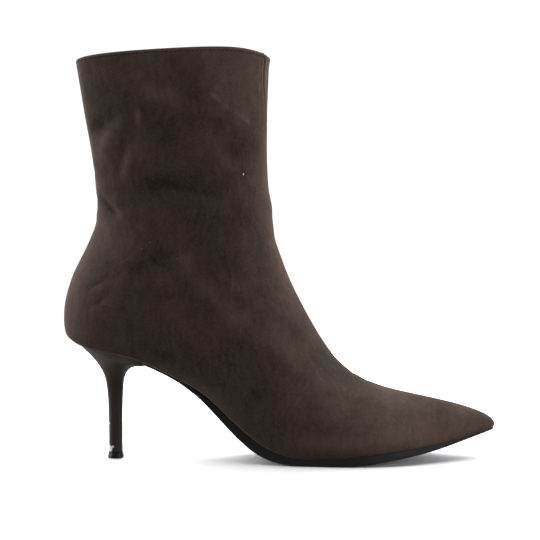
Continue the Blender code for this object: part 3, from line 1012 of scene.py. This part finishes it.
def heelMaterial(s):
    # calf leather drawn tight over the heel and polished: satin, almost no grain, pale where it is torn off
    material, shader = newMaterial("polished_heel_calf_leather", Specular_IOR_Level=0.12)
    place = addNode(material, "TexCoord").outputs["Object"]
    chip = addNode(material, "Attribute", attribute_name="chip").outputs["Fac"]
    cloud = addNode(material, "TexNoise", {"Vector": place, "Scale": 1 / (s["cloudMm"] * mm), "Detail": 4.0})
    grain = addNode(material, "TexNoise", {"Vector": place, "Scale": 1 / (s["grainMm"] * mm), "Detail": 3.0})
    height = addNode(material, "SeparateXYZ", {0: place}).outputs["Z"]
    # painted light: the cover grows paler towards the seat, where the floor's light falls on it
    low, high = s["paintedLightOver"]
    pale = addNode(
        material,
        "MapRange",
        {"Value": height, "From Min": low * mm, "From Max": high * mm, "To Max": s["paintedLightShare"]},
        interpolation_type="SMOOTHSTEP",
    )
    tone = addNode(
        material,
        "Math",
        {0: cloud.outputs["Fac"], 1: s["cloudShare"], 2: pale.outputs["Result"]},
        operation="MULTIPLY_ADD",
    )
    colour = addNode(
        material,
        "Mix",
        {"Factor": tone.outputs[0], 6: hexColour(s["dark"]), 7: hexColour(s["light"])},
        data_type="RGBA",
    )
    ragged = addNode(
        material,
        "Math",
        {0: grain.outputs["Fac"], 1: s["raggedShare"], 2: chip},
        operation="MULTIPLY_ADD",
    )
    low, high = s["raggedEdge"]
    edge = addNode(material, "MapRange", {"Value": ragged.outputs[0], "From Min": low, "From Max": high})
    bare = edge.outputs["Result"]
    worn = addNode(
        material,
        "Mix",
        {"Factor": bare, 6: colour.outputs[2], 7: hexColour(s["bare"])},
        data_type="RGBA",
    )
    rough = addNode(
        material,
        "MapRange",
        {"Value": bare, "To Min": s["roughness"], "To Max": s["bareRoughness"]},
    )
    bump = addNode(
        material,
        "Bump",
        {"Height": grain.outputs["Fac"], "Strength": 0.12, "Distance": s["grainHeight"] * mm},
    )
    return feedShader(
        material,
        shader,
        {
            "Base Color": worn.outputs[2],
            "Roughness": rough.outputs["Result"],
            "Normal": bump.outputs["Normal"],
        },
    )


def cornerGrowth(place, s):
    # 1 behind the corners, straight ahead and to the side, and more towards each corner of the seat
    length, halfWidth = s["cornerReach"]
    power = s["cornerPower"]
    ahead = np.clip(place[:, 0] - s["cornerFrom"], 0, None) / length
    turn = np.arctan2(np.abs(place[:, 1]) / halfWidth, ahead)
    square = (np.cos(turn) ** power + np.sin(turn) ** power) ** (-1 / power)
    growth = 1 + s["cornerFill"] * (square - 1) * smoothStep(*s["cornerHeights"], place[:, 2])
    return np.where(ahead > 0, growth, 1.0)


def makeHeel(s, leather):
    bm = weldedCopy("heel")
    for height in s["cuts"]:
        bmesh.ops.bisect_plane(
            bm,
            geom=bm.verts[:] + bm.edges[:] + bm.faces[:],
            dist=0,
            plane_co=(0, 0, height * mm),
            plane_no=(0, 0, 1),
        )
    bm = subdivided(bm, s["levels"], s["creaseAngle"])
    place, normal = shoePlaces(bm)
    chip = np.zeros(len(place))
    for x, z, halfLength, halfHeight in heelChips:
        gap = np.hypot((place[:, 0] - x) / halfLength, (place[:, 2] - z) / halfHeight)
        chip = np.maximum(chip, bell(gap, 1.0))
    chip *= 1 - smoothStep(*s["chipSide"], place[:, 1])
    moved = place - normal * (s["chipDepth"] * smoothStep(*s["chipRim"], chip))[:, None]

    seat = smoothStep(*s["seatHeights"], place[:, 2])
    moved[:, 2] -= s["seatThick"] * seat * facingDown(normal) * smoothStep(*s["seatOver"], place[:, 0])
    moved[:, 2] += s["seatRise"] * seat * smoothStep(*s["seatRiseFacing"], normal[:, 2])
    fuller = smoothStep(0, s["stemFacing"], normal[:, 0]) - smoothStep(0, -s["stemFacing"], normal[:, 0])
    moved[:, 0] += s["stemFull"] * fuller * (1 - smoothStep(*s["stemOver"], place[:, 2]))
    growth = cornerGrowth(place, s)
    moved[:, 0] = s["cornerFrom"] + (moved[:, 0] - s["cornerFrom"]) * growth
    moved[:, 1] *= growth
    moveTo(bm, moved, chip=chip)
    return finishedPiece("covered_heel", bm, [leather], "heel", s["sharpAngle"])


makeHeel(heelSettings, heelMaterial(heelSettings))


# Sole, heel tip and insole

soleSettings = {
    "finish": "moulded_black_rubber",
    "levels": 2,
    "sharpAngle": 35.0,
    "treadHeights": (1.0, 4.0),  # below these the tread stays flat on the floor
    "arch": (55.0, 85.0, 100.0, 130.0),  # along this stretch the sole is thicker
    "thicker": 0.5,
    "waist": (48.0, 60.0, 85.0, 108.0),  # and along this its side comes out to the edge of the suede
    "wider": 1.08,
    "forepart": (150.0, 190.0),
    "toeWider": 1.02,
    "toeTaller": 0.7,
    "topFacing": (0.2, 0.5),
    "toeOver": (215.0, 243.0),  # over this the edge thins towards the toe and reaches a little further
    "toeThin": 0.5,
    "toeReach": 1.6,
    "dark": "0f0f11",
    "light": "17171a",
    "cloudMm": 14.0,
    "stippleMm": 0.8,
    "stippleHeight": 0.08,
    "roughness": 0.55,
}
tipSettings = {
    "finish": "moulded_black_polyurethane",
    "sharpAngle": 35.0,
    "edge": 0.1,  # rounded off every edge bent more than edgeAngle
    "edgeAngle": 50.0,
    "spread": (0.12, 0.05),  # how much wider the tip is worn at the floor and at its top
    "dark": "0c0c0d",
    "light": "191919",
    "cloudMm": 14.0,
    "stippleMm": 0.6,
    "stippleHeight": 0.05,
    "roughness": 0.45,
}
insoleSettings = {
    **liningSettings,
    "finish": "drum_dyed_sock_leather",
    "levels": 2,
    "sharpAngle": 35.0,
    "light": "86725f",
}


def mouldedMaterial(s):
    # moulded, not polished: even and matt, with a fine stipple from the mould
    material, shader = newMaterial(s["finish"], Roughness=s["roughness"], Specular_IOR_Level=0.2)
    place = addNode(material, "TexCoord").outputs["Object"]
    cloud = addNode(material, "TexNoise", {"Vector": place, "Scale": 1 / (s["cloudMm"] * mm), "Detail": 4.0})
    stipple = addNode(
        material,
        "TexNoise",
        {"Vector": place, "Scale": 1 / (s["stippleMm"] * mm), "Detail": 2.0},
    )
    colour = addNode(
        material,
        "Mix",
        {"Factor": cloud.outputs["Fac"], 6: hexColour(s["dark"]), 7: hexColour(s["light"])},
        data_type="RGBA",
    )
    bump = addNode(
        material,
        "Bump",
        {"Height": stipple.outputs["Fac"], "Strength": 0.3, "Distance": s["stippleHeight"] * mm},
    )
    return feedShader(material, shader, {"Base Color": colour.outputs[2], "Normal": bump.outputs["Normal"]})


def makeOutsole(s):
    bm = subdivided(weldedCopy("outsole"), s["levels"], s["sharpAngle"])
    place, normal = shoePlaces(bm)
    x = place[:, 0]
    under = facingDown(normal) * smoothStep(*s["treadHeights"], place[:, 2])
    above = smoothStep(*s["topFacing"], normal[:, 2])
    toe = smoothStep(*s["toeOver"], x)
    forepart = smoothStep(*s["forepart"], x)
    moved = place.copy()
    moved[:, 0] += s["toeReach"] * toe ** 2
    moved[:, 1] *= 1 + (s["wider"] - 1) * plateau(s["waist"], x) + (s["toeWider"] - 1) * forepart
    moved[:, 2] += under * (s["toeThin"] * toe - s["thicker"] * plateau(s["arch"], x))
    moved[:, 2] += above * s["toeTaller"] * forepart
    moveTo(bm, moved)
    rubber = mouldedMaterial(s)
    return finishedPiece("outsole_sheet", bm, [rubber], "outsole", s["sharpAngle"])


def makeHeelTip(s):
    bm = weldedCopy("heel_tip")
    sharp = [e for e in bm.edges if e.calc_face_angle(0) > math.radians(s["edgeAngle"])]
    bmesh.ops.bevel(
        bm,
        geom=sharp,
        offset=s["edge"] * mm,
        affect="EDGES",
        segments=2,
        profile=0.5,
        material=-1,
    )
    place = shoePlaces(bm)[0]
    low = place.min(axis=0)
    high = place.max(axis=0)
    middle = (low + high)[:2] / 2
    wider = 1 + np.interp(place[:, 2], (low[2], high[2]), s["spread"])
    moved = place.copy()
    moved[:, :2] = middle + (place[:, :2] - middle) * wider[:, None]
    moveTo(bm, moved)
    plastic = mouldedMaterial(s)
    return finishedPiece("heel_top_piece", bm, [plastic], "heel_tip", s["sharpAngle"])


def makeInsole(s):
    bm = subdivided(weldedCopy("insole"), s["levels"], s["sharpAngle"])
    leather = liningMaterial(s)
    return finishedPiece("sock_insole", bm, [leather], "insole", s["sharpAngle"])


makeOutsole(soleSettings)
makeHeelTip(tipSettings)
makeInsole(insoleSettings)
